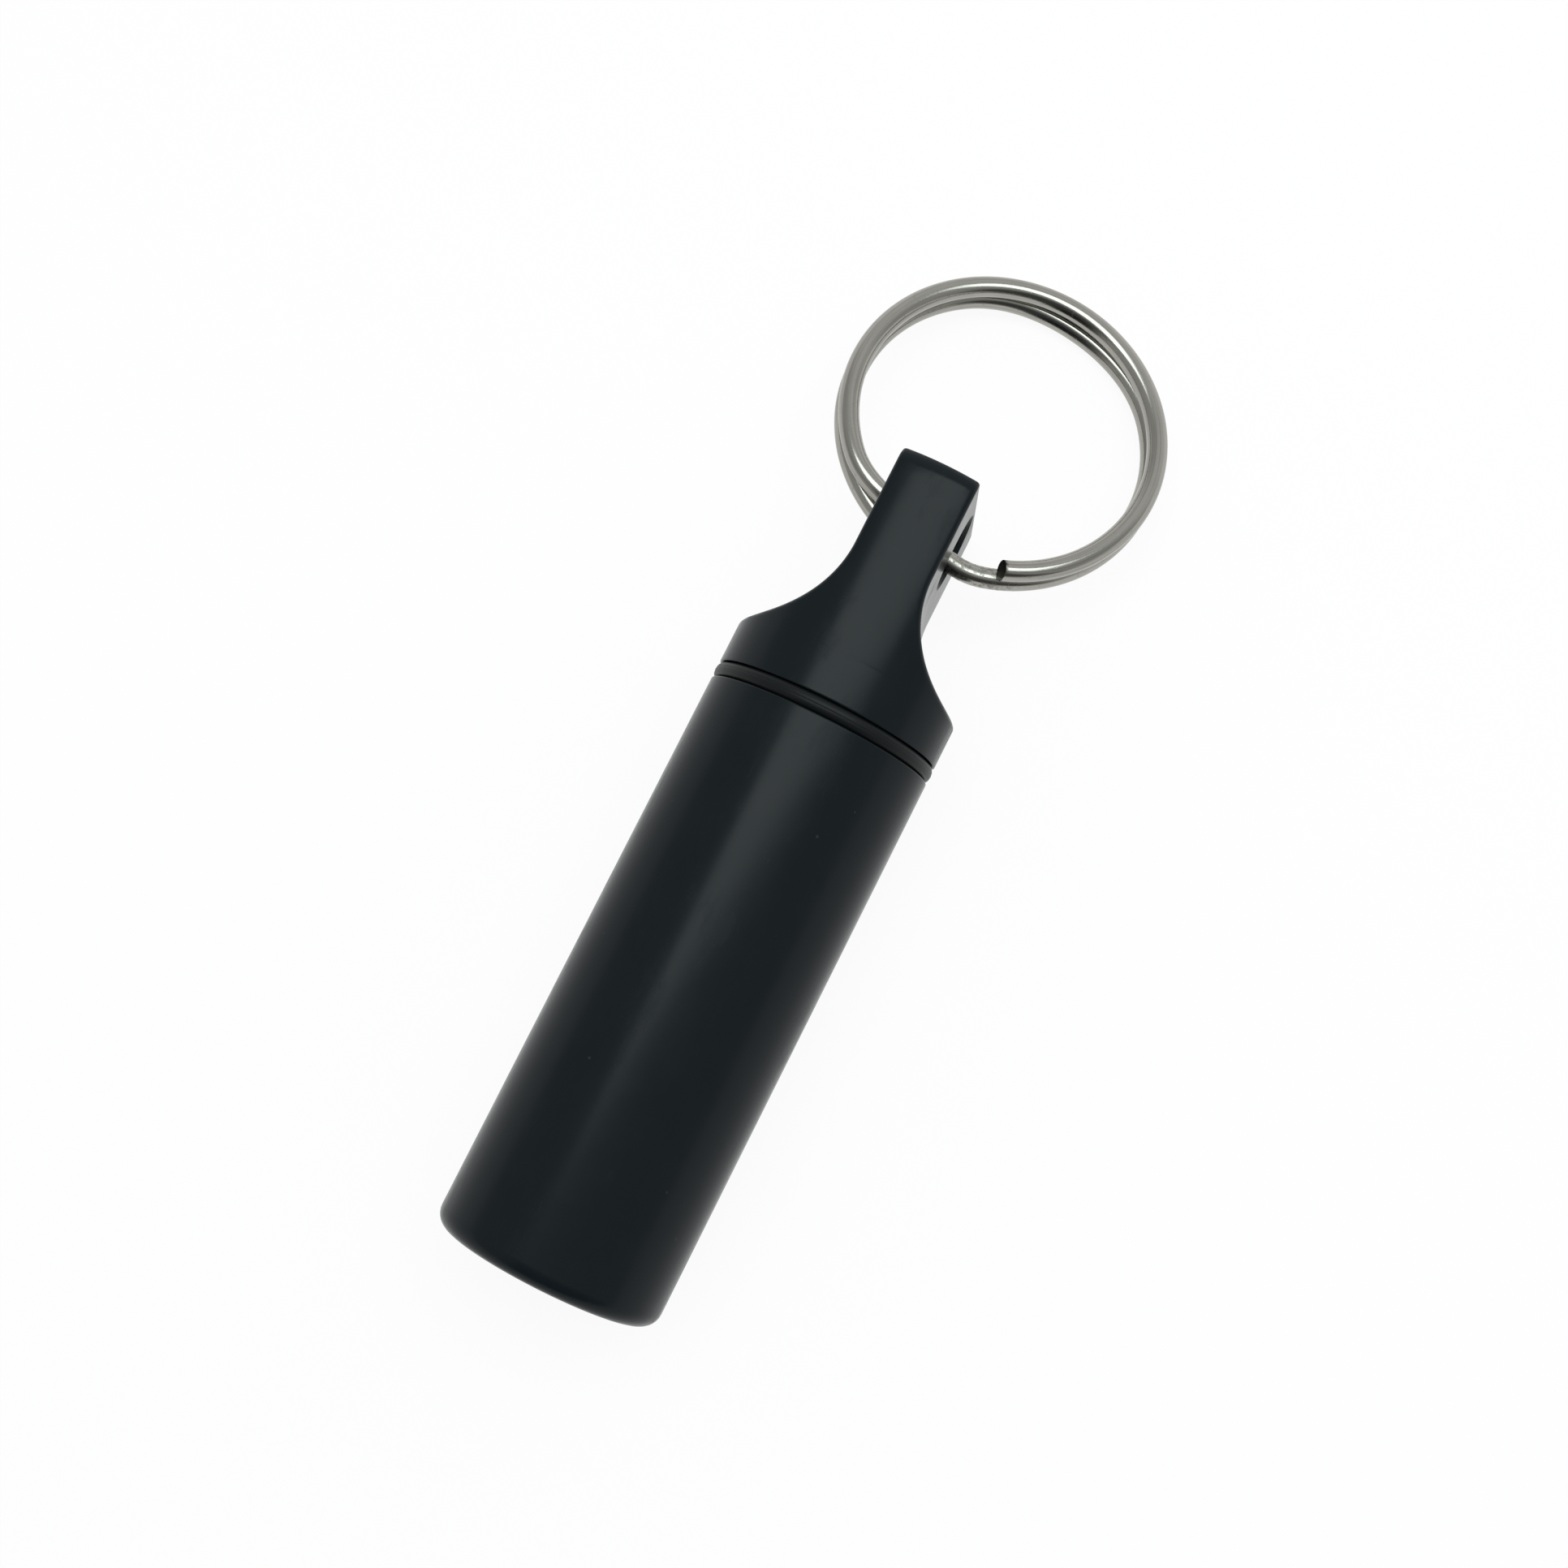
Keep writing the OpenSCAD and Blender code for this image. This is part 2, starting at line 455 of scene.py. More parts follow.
class CapSettings(bpy.types.PropertyGroup):
    """Sizes of the cap and its tang."""

    tang: length("Tang thickness", "Thickness of the flat tang", 5.5 * MM)
    shoulder: length("Shoulder radius", "Radius of the curves that run into the tang", 7.2 * MM)
    flat: length("Tang flats", "Length of the tang's straight flats", 7.0 * MM)
    tip_bevel: length("Tip bevel", "Bevel turned on the tip", 0.5 * MM)
    hole: length("Hole diameter", "Diameter of the hole for the split ring", 5.0 * MM)
    hole_back: length("Hole to tip", "Distance from the hole's centre to the tip", 3.3 * MM)
    hole_bevel: length("Hole bevel", "Bevel at both ends of the hole", 0.3 * MM)
    softness: length("Edge softness", "Rounding that tumbling leaves on milled edges", 0.27 * MM)
    spigot: length("Spigot diameter", "Diameter at the roots of the cap's thread", 11.14 * MM)
    spigot_crest: length("Spigot crests", "Diameter at the crests of the cap's thread", 12.6 * MM)
    neck: length("Neck diameter", "Diameter of the plain neck that the seal sits on", 11.8 * MM)
    neck_length: length("Neck length", "Length of the plain neck", 1.9 * MM)


class SealSettings(bpy.types.PropertyGroup):
    """Sizes of the seal."""

    inner: length("Inner diameter", "Diameter of the seal's hole", 11.9 * MM)
    corner: length("Corner rounding", "Rounding of the squeezed seal's corners", 0.45 * MM)
    flash: length("Flash line", "Height of the mould's parting line", 0.02 * MM)


class RingSettings(bpy.types.PropertyGroup):
    """Sizes and place of the split ring."""

    wire: length("Wire diameter", "Diameter of the ring's wire", 1.45 * MM)
    across: length("Ring diameter", "Diameter at the middle of the wire", 21.68 * MM)
    step: length("Turn step", "Step from one turn to the next", 1.5 * MM)
    start: angle_of("Upper end", "Angle of the upper wire end from the far side", 203)
    stop: angle_of("Lower end", "Angle of the lower wire end after two turns", 720 + 156)
    cross_start: angle_of("Crossing start", "Where the wire leaves the upper turn", 360 + 146)
    cross_stop: angle_of("Crossing end", "Where the wire joins the lower turn", 360 + 200)
    bow: length("Inward bow", "How far the crossing wire bows inwards", 0.8 * MM)
    bow_start: angle_of("Bow start", "Angle where the bow begins", 360 + 132)
    bow_stop: angle_of("Bow end", "Angle where the bow ends", 360 + 198)
    far_bow: length("Far bow", "How far the lower turn bows inwards at its far side", 0.33 * MM)
    far_start: angle_of("Far bow start", "Angle where the far bow begins", 720 - 52)
    far_stop: angle_of("Far bow end", "Angle where the far bow ends", 720 + 38)
    slope: angle_of("Slope", "Slope of the ring down to the table", 15.7)
    lean: angle_of("Lean", "Sideways lean of the ring", 5.0)
    back: length("Rest in the hole", "Distance from the hole's axis back to the wire", 0.77 * MM)
    side: length("Sideways place", "Sideways place of the ring's centre", -1.6 * MM)
    cut: angle_of("End cut", "Slant of the cutter that nipped the upper wire end", 12)


class FinishSettings(bpy.types.PropertyGroup):
    """Colours and gloss of the finishes."""

    black: colour("Anodised black", "Colour of the case and the cap", (0.0066, 0.0100, 0.0121))
    black_rough: share_of("Anodised roughness", "Roughness of the anodised metal", 0.22)
    rubber: colour("Rubber", "Colour of the seal", (0.0060, 0.0074, 0.0080))
    plating: colour("Plating", "Colour of the ring's nickel plating", (0.385, 0.379, 0.345))
    plating_rough: share_of("Plating roughness", "Roughness of the ring's plating", 0.2)


class StageSettings(bpy.types.PropertyGroup):
    """The floor, the light and the camera."""

    floor: share_of("Floor", "Paleness of the floor as soft light meets it", 0.55)
    room: share_of("Room light", "Strength of the room's pale walls", 0.50)
    softbox: number("Softbox", "Power of the softbox beyond the ring in watts", 1.1)
    slant: angle_of("Softbox slant", "Turn of the softbox across the case", 20)
    lens: number("Lens", "Focal length of the camera in millimetres", 53.083, least=1.0)


GROUPS = {
    "case": CaseSettings,
    "cap": CapSettings,
    "seal": SealSettings,
    "ring": RingSettings,
    "finish": FinishSettings,
    "stage": StageSettings,
}


class FobSettings(bpy.types.PropertyGroup):
    """All settings of the fob."""

    case: group_of(CaseSettings, "Case", "Sizes of the case")
    cap: group_of(CapSettings, "Cap", "Sizes of the cap")
    seal: group_of(SealSettings, "Seal", "Sizes of the seal")
    ring: group_of(RingSettings, "Ring", "Sizes and place of the ring")
    finish: group_of(FinishSettings, "Finish", "Colours and gloss of the finishes")
    stage: group_of(StageSettings, "Stage", "Floor, light and camera")


# Finishes: lengths and noise scales are in millimetres, and the rest are shares from 0 to 1


def new_material(name):
    """A new material: gives it, its graph and the point's place on the piece in millimetres."""
    material = bpy.data.materials.new(name)
    graph = empty_graph(material)
    own = graph.node("ShaderNodeTexCoord", out="Object")
    return material, graph, graph.vector("SCALE", own, 1 / MM)


def shade(tint, factor=1.0, lift=0.0):
    """A colour made lighter or darker, with its alpha."""
    return (*[c * factor + lift for c in tint], 1.0)


def finish_material(graph, constants, base, roughness, height, strength, depth):
    """Adds the shader, its relief and the output. A height from 0 to 1 stands for depth."""
    relief = {"Strength": strength, "Distance": depth, "Height": height}
    bump = graph.node("ShaderNodeBump", None, relief)
    varying = {"Base Color": base, "Roughness": roughness, "Normal": bump}
    shader = graph.node("ShaderNodeBsdfPrincipled", None, {**constants, **varying})
    graph.node("ShaderNodeOutputMaterial", None, {"Surface": shader})


def noise(graph, vector, scale, detail=2.0, roughness=0.5):
    return graph.node(
        "ShaderNodeTexNoise",
        None,
        {"Vector": vector, "Scale": scale, "Detail": detail, "Roughness": roughness},
    )


def anodised(name, black, rough):
    """Black anodised aluminium with fine tool marks, a soft mottle, dust and handling marks."""
    material, graph, place_mm = new_material(name)
    x, y, z = graph.split(place_mm)
    radius = graph.math("SQRT", y * y + z * z)
    milled_inside, turned_outside = 7.82, 7.90
    turned = graph.step(radius, milled_inside, turned_outside)
    lines = graph.node(
        "ShaderNodeTexNoise", {"noise_dimensions": "1D"}, {"W": x, "Scale": 9.0, "Detail": 3.0}
    )
    milled_way = graph.join(x * 7.0, z * 0.35, y * 7.0)
    milled = noise(graph, milled_way, scale=1.0, detail=3.0)
    marks = milled + turned * (lines - milled)
    mottle = noise(graph, place_mm, scale=0.35, detail=3.0, roughness=0.6)
    grain = noise(graph, place_mm, scale=14.0)
    wiped_way = graph.vector("MULTIPLY", place_mm, (0.22, 0.6, 0.6))
    smudge = noise(graph, wiped_way, scale=1.0, detail=4.0, roughness=0.65)
    smudge = graph.step(smudge, 0.52, 0.66)
    specks = graph.node("ShaderNodeTexVoronoi", None, {"Vector": place_mm, "Scale": 0.42})
    pick, _, _ = graph.split(specks.other("Color"))
    speck_edge, speck_core = 0.055, 0.03
    dust = graph.step(specks, speck_edge, speck_core) * graph.step(pick, 0.62, 0.66)
    base = graph.mix(mottle * 0.7 - 0.1, shade(black), shade(black, 1.35))
    base = graph.mix(dust * 0.6, base, shade(black, 2.4, lift=0.012))
    roughness = rough - 0.05 + marks * 0.03 + mottle * 0.09 + smudge * 0.07 + dust * 0.2
    height = marks * 0.2 + grain * 0.35 + dust * 0.8
    gloss = {"IOR": 1.5, "Specular IOR Level": 0.11}
    finish_material(graph, gloss, base, roughness, height, strength=0.16, depth=0.006 * MM)
    return material


def rubber(name, tint):
    """Matt black rubber with a fine skin and a little bloom."""
    material, graph, place_mm = new_material(name)
    skin = noise(graph, place_mm, scale=6.0, detail=3.0)
    bloom = noise(graph, place_mm, scale=0.6, detail=3.0, roughness=0.6)
    base = graph.mix(bloom, shade(tint), shade(tint, 1.3))
    roughness = 0.32 + skin * 0.1 + bloom * 0.06
    gloss = {"IOR": 1.5, "Specular IOR Level": 0.14}
    finish_material(graph, gloss, base, roughness, skin, strength=0.3, depth=0.02 * MM)
    return material


def plated(name, tint, rough):
    """Nickel plated steel wire with drawing lines, haze, knocks, a scuffed crossing, painted
    reflection streaks and painted shade on the cut ends.
    """
    material, graph, place_mm = new_material(name)
    along = graph.node("ShaderNodeAttribute", {"attribute_name": "wire_along"}, out="Fac")
    across = graph.node("ShaderNodeAttribute", {"attribute_name": "wire_across"}, out="Vector")
    round_x, round_y, _ = graph.split(across)
    drawn_way = graph.join(along * 60.0, round_x * 6.0, round_y * 6.0)
    drawn = noise(graph, drawn_way, scale=1.0, detail=3.0, roughness=0.6)
    # Streaks along the wire: partly real drawing lines, partly painted reflection bands that darken
    # the colour.
    lines = graph.step(drawn, 0.48, 0.66)
    haze = noise(graph, place_mm, scale=0.5, detail=3.0, roughness=0.6)
    knocked = noise(graph, place_mm, scale=2.6, detail=3.0, roughness=0.7)
    knocked = graph.step(knocked, 0.60, 0.72)
    crossing_mm, scuff_end, scuff_full = 103.5, 5.5, 3.0
    from_crossing = graph.math("ABSOLUTE", along / MM - crossing_mm)
    scuffed = noise(graph, place_mm, scale=3.2, detail=3.0, roughness=0.6)
    scuffed = graph.step(from_crossing, scuff_end, scuff_full) * graph.step(scuffed, 0.44, 0.66)
    # Painted shade: the wire's cut end faces are darkened nearly to black, and the same dark colour
    # also serves the real scuffs near the crossing.
    cut = graph.node("ShaderNodeAttribute", {"attribute_name": "wire_end_shade"}, out="Fac")
    dull_and_reflection_streak, scuff_and_end_shade = shade(tint, 0.6), shade(tint, 0.13)
    # Haze and knocks dull the plating, and the streaks darken it as painted reflection bands.
    base = graph.mix(haze * 0.4 + knocked * 0.3 + lines * 0.5, shade(tint), dull_and_reflection_streak)
    base = graph.mix(graph.math("MAXIMUM", cut, scuffed * 0.4), base, scuff_and_end_shade)
    roughness = rough - 0.07 + drawn * 0.08 + haze * 0.06 + knocked * 0.12
    roughness = roughness + scuffed * 0.2 + cut * 0.3
    height = drawn * 1.1 - knocked * 0.6 - scuffed * 0.4
    metal = {"Metallic": 1.0}
    finish_material(graph, metal, base, roughness, height, strength=0.18, depth=0.01 * MM)
    return material


# The pieces

THREAD_X = 36.0 * MM  # the cap's ridge faces +Y here, and the case's half a pitch further on
DRILL_HALF_ANGLE = math.radians(59)
BURR = 0.05 * MM  # rounding left on a small turned corner
STEP_ROUND = 0.08 * MM  # rounding of the steps at the chamber and the neck
HOLE_ROUND = 0.1 * MM  # rounding where the hole meets its bevels
HEAD_ROUND = 0.1 * MM  # rounding of the head's two faces
TIP_ROUND = 0.35 * MM  # rounding between the head's side and its tip bevel
WIRE_POINTS = 480  # along the ring's wire
WIRE_SIDES = 32
NIP_BURR = 0.08 * MM  # bevel round the cut ends of the wire

# The wire tree's inputs that are ring settings as they are
WIRE_INPUTS = {
    "Wire Diameter": "wire",
    "Turn Step": "step",
    "Start": "start",
    "Stop": "stop",
    "Cross Start": "cross_start",
    "Cross Stop": "cross_stop",
    "Bow": "bow",
    "Bow Start": "bow_start",
    "Bow Stop": "bow_stop",
    "Far Bow": "far_bow",
    "Far Start": "far_start",
    "Far Stop": "far_stop",
}


class PILLFOB_OT_case(bpy.types.Operator):
    """Turns the case with its rounded base, drilled chamber and threaded mouth"""

    bl_idname = "pillfob.case"
    bl_label = "Case"

    def execute(self, context):
        settings = context.scene.pill_fob
        case, finish = settings.case, settings.finish
        outer, mouth_x = case_high.y, case_high.x
        root, bore = case.mouth / 2, case.chamber / 2
        mouth_end = mouth_x - case.mouth_depth
        drill_tip = bore / math.tan(DRILL_HALF_ANGLE)
        outside = rounded(
            [
                (0.0, 0.0, 0),
                (0.0, outer, case.base_round),
                (mouth_x, outer, case.edge_break),
                (mouth_x, root + case.mouth_bevel, BURR),
                (mouth_x - case.mouth_bevel, root, 0),
            ],
            steps=8,
        )
        relief, lead_in, run_out = 0.35 * MM, 1.0 * MM, 0.5 * MM
        thread = (mouth_end + relief, mouth_x - lead_in)
        ridge = thread_line(
            start=thread[1],
            stop=thread[0],
            root=root,
            depth=case.crest / 2 - root,
            crest=0.27 * MM,
            foot=1.0 * MM,
            middle=THREAD_X + case.pitch / 2,
            pitch=case.pitch,
        )
        drill_round = 0.4 * MM
        inside = rounded(
            [
                (mouth_end, root, 0),
                (mouth_end, bore, STEP_ROUND),
                (case.base_wall + drill_tip, bore, drill_round),
                (case.base_wall, 0.0, 0),
            ],
        )
        material = anodised("Tube anodising", finish.black, finish.black_rough)
        piece = turn("Pill_tube", outside + ridge + inside, material, thread, case.pitch, run_out)
        place(piece, "case", "case_body", material)
        return {"FINISHED"}


def head_rows(cap):
    """Places along the cap where its mesh has a row of points: closer where its edges are."""
    tip = cap_high.x
    flat_x, bevel_x = tip - cap.flat, tip - cap.tip_bevel
    arc_x = flat_x - cap.shoulder  # the shoulder's arc starts here and soon meets the round head
    coarse, curved, fine = 0.6 * MM, 0.12 * MM, 0.035 * MM
    rows = [HEAD_X + d * MM for d in (0, 0.03, 0.06, 0.09, 0.12, 0.18, 0.3)]
    rows += list(np.arange(HEAD_X + 0.8 * MM, arc_x - 0.1 * MM, coarse))
    rows += list(np.arange(arc_x - 0.05 * MM, arc_x + 1.3 * MM, fine))
    rows += list(np.arange(arc_x + 1.35 * MM, flat_x, curved))
    rows += [flat_x, flat_x + 0.1 * MM]
    rows += list(np.arange(flat_x + coarse, bevel_x - 0.4 * MM, coarse))
    rows += [bevel_x + d * MM for d in (-0.3, -0.15, -0.1, -0.05, 0, 0.05, 0.1, 0.15)]
    rows += [tip - d * MM for d in (0.25, 0.15, 0.1, 0.05, 0)]
    return rows


def head_mesh(name, cap, radius):
    """The cap above the joint: a turned body milled to a tang, with all its edges softened.

    Each point lies on a ray from the axis through the sharp-edged body, where the ray meets
    the softened one. The rays run along the milled edges, so the mesh follows them.
    """
    tip = cap_high.x
    flat_x, bevel_x = tip - cap.flat, tip - cap.tip_bevel
    arc_y = cap.tang / 2 + cap.shoulder

    def half_width(x):
        """Half the sharp-edged body's width at x, milled by an arc and then flat."""
        reach = min(max(flat_x - x, 0), cap.shoulder)
        return arc_y - math.sqrt(cap.shoulder**2 - reach**2)

    def both(a, b, soft):
        """The distance to two surfaces' common inside, its edge rounded with radius soft."""
        corner = np.hypot(np.maximum(a + soft, 0), np.maximum(b + soft, 0))
        return np.minimum(-soft, np.maximum(a, b)) + corner

    def outside(p):
        x, y, z = p[..., 0], np.abs(p[..., 1]), p[..., 2]
        r = np.hypot(y, z)
        bevel = (x - tip + r - radius + cap.tip_bevel) / math.sqrt(2)
        body = both(r - radius, bevel, TIP_ROUND)
        body = both(body, x - tip, HEAD_ROUND)
        body = both(body, HEAD_X - x, HEAD_ROUND)
        arc = cap.shoulder - np.hypot(x - flat_x, y - arc_y)
        mill = np.where(x > flat_x, y - cap.tang / 2, arc)
        return both(body, mill, cap.softness)

    near = np.array([0.0, 0.05, 0.1, 0.15, 0.2, 0.26, 0.4]) * MM  # rows beside a milled edge
    clear = near[-1] * 1.4  # where the wider rows take over
    flat_rows, round_rows = 8, 17
    targets, origins = [], []

    def ring(x):
        """Points of the sharp-edged body at x, each quarter from its milled side to its round."""
        outline = radius - max(x - bevel_x, 0)
        half = min(half_width(x), outline)
        edge = math.acos(half / outline)
        chord, arc = half * math.tan(edge), outline * (math.pi / 2 - edge)
        squeeze = min(1.0, chord / (3 * near[-1])) if chord > 0 else 0.0
        middle = np.linspace(0, max(chord - clear * squeeze, 0), flat_rows)
        across = np.concatenate([middle, chord - near[::-1] * squeeze])
        beyond = np.concatenate([near[1:], np.linspace(clear, arc, round_rows)])
        quarter = np.concatenate([np.arctan2(across, half), edge + beyond / outline])
        side = np.concatenate([quarter, math.pi - quarter[::-1][1:]])
        angles = np.concatenate([side, side[1:-1] + math.pi])
        return angles, np.minimum(outline, half / np.maximum(np.abs(np.cos(angles)), 1e-9))

    def add(x, share=1.0, inset=0.0):
        angles, reach = ring(x)
        reach = np.maximum(reach * share - inset, 0)
        level = np.full_like(reach, x)
        targets.append(np.stack([level, reach * np.cos(angles), reach * np.sin(angles)], 1))
        origins.append(np.clip(x, HEAD_X + 1 * MM, tip - 1 * MM))

    ends = [(0.25, 0), (0.5, 0), (0.75, 0)]
    ends += [(1, d * MM) for d in (0.4, 0.2, 0.12, 0.08, 0.04)]
    for share, inset in ends:
        add(HEAD_X, share, inset)
    for x in head_rows(cap):
        add(x)
    for share, inset in reversed(ends):
        add(tip, share, inset)

    target = np.array(targets)
    origin = np.zeros_like(target)
    origin[..., 0] = np.array(origins)[:, None]
    way = target - origin
    way /= np.linalg.norm(way, axis=2, keepdims=True)
    farthest, halvings = 12 * MM, 40
    low, high = np.zeros(target.shape[:2]), np.full(target.shape[:2], farthest)
    for _ in range(halvings):
        middle = (low + high) / 2
        out = outside(origin + way * middle[..., None]) > 0
        low, high = np.where(out, low, middle), np.where(out, middle, high)
    points = origin + way * low[..., None]

    count, around = points.shape[:2]
    verts = points.reshape(-1, 3).tolist() + [(HEAD_X, 0, 0), (tip, 0, 0)]
    faces = []
    for i in range(count - 1):
        for k in range(around):
            a, b = i * around + k, i * around + (k + 1) % around
            faces.append((a, a + around, b + around, b))
    last = (count - 1) * around
    for k in range(around):
        faces.append((count * around, k, (k + 1) % around))
        faces.append((count * around + 1, last + (k + 1) % around, last + k))
    mesh = bpy.data.meshes.new(name)
    mesh.from_pydata(verts, [], faces)
    return mesh


class PILLFOB_OT_cap(bpy.types.Operator):
    """Builds the cap: a threaded spigot, a round head and the milled tang with its hole"""

    bl_idname = "pillfob.cap"
    bl_label = "Cap"

    def execute(self, context):
        settings = context.scene.pill_fob
        case, cap, finish = settings.case, settings.cap, settings.finish
        material = anodised("Cap anodising", finish.black, finish.black_rough)
        piece = bpy.data.objects.new("Cap", head_mesh("Cap", cap, cap_high.y))
        context.scene.collection.objects.link(piece)
        clean(piece)
        combine(piece, self.spigot(case, cap, material), "UNION")
        combine(piece, self.hole(cap, material), "DIFFERENCE")
        clean(piece)
        normals = piece.modifiers.new("Even shading", "WEIGHTED_NORMAL")
        normals.keep_sharp = True
        bake_modifiers(piece)
        place(piece, "cap", "cap", material)
        return {"FINISHED"}

    @staticmethod
    def spigot(case, cap, material):
        """The threaded spigot, which reaches a little into the head."""
        start, root = cap_low.x, cap.spigot / 2
        neck_x, inside_x = HEAD_X - cap.neck_length, HEAD_X + 1.2 * MM
        end_round, lead_in, relief, run_out = 0.5 * MM, 0.6 * MM, 0.15 * MM, 0.45 * MM
        thread = (start + lead_in, neck_x - relief)
        before = rounded([(start, 0, 0), (start, root, end_round), (neck_x, root, 0)])[:-1]
        ridge = thread_line(
            start=thread[0],
            stop=thread[1],
            root=root,
            depth=cap.spigot_crest / 2 - root,
            crest=0.26 * MM,
            foot=1.1 * MM,
            middle=THREAD_X,
            pitch=case.pitch,
        )
        after = rounded(
            [
                (neck_x, root, 0),
                (neck_x, cap.neck / 2, STEP_ROUND),
                (inside_x, cap.neck / 2, 0),
                (inside_x, 0, 0),
            ]
        )
        return turn("Spigot", before + ridge + after, material, thread, case.pitch, run_out)

    @staticmethod
    def hole(cap, material):
        """The cutter of the cross hole, bevelled where it leaves the flats."""
        face, bore = cap.tang / 2, cap.hole / 2
        flare = 2 * MM
        line = rounded(
            [
                (-face - flare, 0, 0),
                (-face - flare, bore + cap.hole_bevel + flare, 0),
                (-face + cap.hole_bevel, bore, HOLE_ROUND),
                (face - cap.hole_bevel, bore, HOLE_ROUND),
                (face + flare, bore + cap.hole_bevel + flare, 0),
                (face + flare, 0, 0),
            ]
        )
        cutter = turn("Hole cutter", line, material)
        hole_x = cap_high.x - cap.hole_back
        across = Matrix.Rotation(math.pi / 2, 4, "Z")
        cutter.data.transform(Matrix.Translation((hole_x, 0, 0)) @ across)
        return cutter


class PILLFOB_OT_seal(bpy.types.Operator):
    """Makes the squeezed rubber seal between the case and the cap"""

    bl_idname = "pillfob.seal"
    bl_label = "Seal"

    def execute(self, context):
        settings = context.scene.pill_fob
        seal, finish = settings.seal, settings.finish
        low, high, outer = seal_low.x, seal_high.x, seal_high.z
        middle, flash_half = (low + high) / 2, 0.05 * MM
        skin = outer - seal.flash
        line = rounded(
            [
                (middle, seal.inner / 2, 0),
                (low, seal.inner / 2, seal.corner),
                (low, skin, seal.corner),
                (middle - flash_half, skin, 0),
                (middle, outer, 0),
                (middle + flash_half, skin, 0),
                (high, skin, seal.corner),
                (high, seal.inner / 2, seal.corner),
                (middle, seal.inner / 2, 0),
            ],
            steps=6,
        )
        material = rubber("Seal rubber", finish.rubber)
        place(turn("Seal", line, material), "seal", "seal_ring", material)
        return {"FINISHED"}


class PILLFOB_OT_ring(bpy.types.Operator):
    """Winds the split ring: one wire in two close turns that cross over in the tang's hole"""

    bl_idname = "pillfob.ring"
    bl_label = "Split ring"

    def execute(self, context):
        settings = context.scene.pill_fob
        ring, cap, finish = settings.ring, settings.cap, settings.finish
        material = plated("Ring plating", finish.plating, finish.plating_rough)
        radius = ring.across / 2
        normal_x = math.cos(ring.lean) * math.sin(ring.slope)
        hole_x = cap_high.x - cap.hole_back
        centre_x = hole_x - ring.back + radius * math.cos(ring.slope) + ring.step / 2 * normal_x
        values = {label: getattr(ring, name) for label, name in WIRE_INPUTS.items()}
        values |= {
            "Ring Radius": radius,
            "Place": (centre_x, ring.side, 0.0),
            "Turned": (ring.lean, ring.slope, 0.0),
            "Points": WIRE_POINTS,
            "Sides": WIRE_SIDES,
            "Material": material,
        }
        start = bpy.data.meshes.new("Wire start")
        piece = grow("Split_ring", start, self.wire_tree(), values)
        lowest = min(vertex.co.z for vertex in piece.data.vertices)
        piece.data.transform(Matrix.Translation((0, 0, cad_low.z - lowest)))
        self.nip_ends(piece, ring)
        clean(piece)
        place(piece, "ring", "split_ring", material)
        return {"FINISHED"}

    @staticmethod
    def wire_tree():
        """Sweeps a round wire along two turns, which cross over from the upper to the lower."""
        sockets = {label: "Float" for label in (*WIRE_INPUTS, "Ring Radius")}
        sockets |= {"Place": "Vector", "Turned": "Rotation", "Points": "Int", "Sides": "Int"}
        tree, graph, given = geometry_tree("Split ring wire", {**sockets, "Material": "Material"})
        points = graph.node("GeometryNodeMeshLine", None, {"Count": given["Points"]})
        index = graph.node("GeometryNodeInputIndex")
        angle = given["Start"] + index / (given["Points"] - 1.0) * (given["Stop"] - given["Start"])
        crossed = graph.share(angle, given["Cross Start"], given["Cross Stop"])
        level = given["Turn Step"] / 2 * graph.math("COSINE", crossed * math.pi)

        def bowed(depth, start, stop):
            """How far the wire bows inwards, smoothly from start to stop."""
            wave = graph.math("SINE", graph.share(angle, given[start], given[stop]) * math.pi)
            return given[depth] * wave * wave

        radius = given["Ring Radius"] - bowed("Bow", "Bow Start", "Bow Stop")
        radius = radius - bowed("Far Bow", "Far Start", "Far Stop")
        path = graph.join(*graph.polar(radius, angle), level)
        laid = graph.node("GeometryNodeSetPosition", None, {"Geometry": points, "Position": path})
        named = graph.store(laid, "FLOAT", "wire_along", angle * given["Ring Radius"])
        curve = graph.node("GeometryNodeMeshToCurve", None, {"Mesh": named})
        section = graph.node(
            "GeometryNodeCurvePrimitiveCircle",
            None,
            {"Resolution": given["Sides"], "Radius": given["Wire Diameter"] / 2},
        )
        outwards = graph.vector("NORMALIZE", graph.node("GeometryNodeInputPosition"))
        section = graph.store(section, "FLOAT_VECTOR", "wire_across", outwards)
        wire = graph.node(
            "GeometryNodeCurveToMesh",
            None,
            {"Curve": curve, "Profile Curve": section, "Fill Caps": True},
        )
        placed = graph.node(
            "GeometryNodeTransform",
            None,
            {"Geometry": wire, "Translation": given["Place"], "Rotation": given["Turned"]},
        )
        end_tree(graph, placed, given["Material"])
        return tree

    @staticmethod
    def nip_ends(piece, ring):
        """Nips the upper end at a slant and the lower one flush with the tang, and marks both cut
        faces for painted shade.
        """
        work = bmesh.new()
        work.from_mesh(piece.data)
        along = work.verts.layers.float["wire_along"]
        marked = work.verts.layers.float.new("wire_end_shade")
        places = [vertex[along] for vertex in work.verts]
        turned = Matrix.Rotation(ring.slope, 3, "Y") @ Matrix.Rotation(ring.lean, 3, "X")
        level, aside = turned @ Vector((0, 0, 1)), Vector((0, -1, 0))
        next_row = (0.2 * MM, 0.3 * MM)  # the row of points beside an end
        reach, rim_angle = 2 * MM, math.radians(55)

        def middle(points):
            return sum(points, Vector()) / len(points)

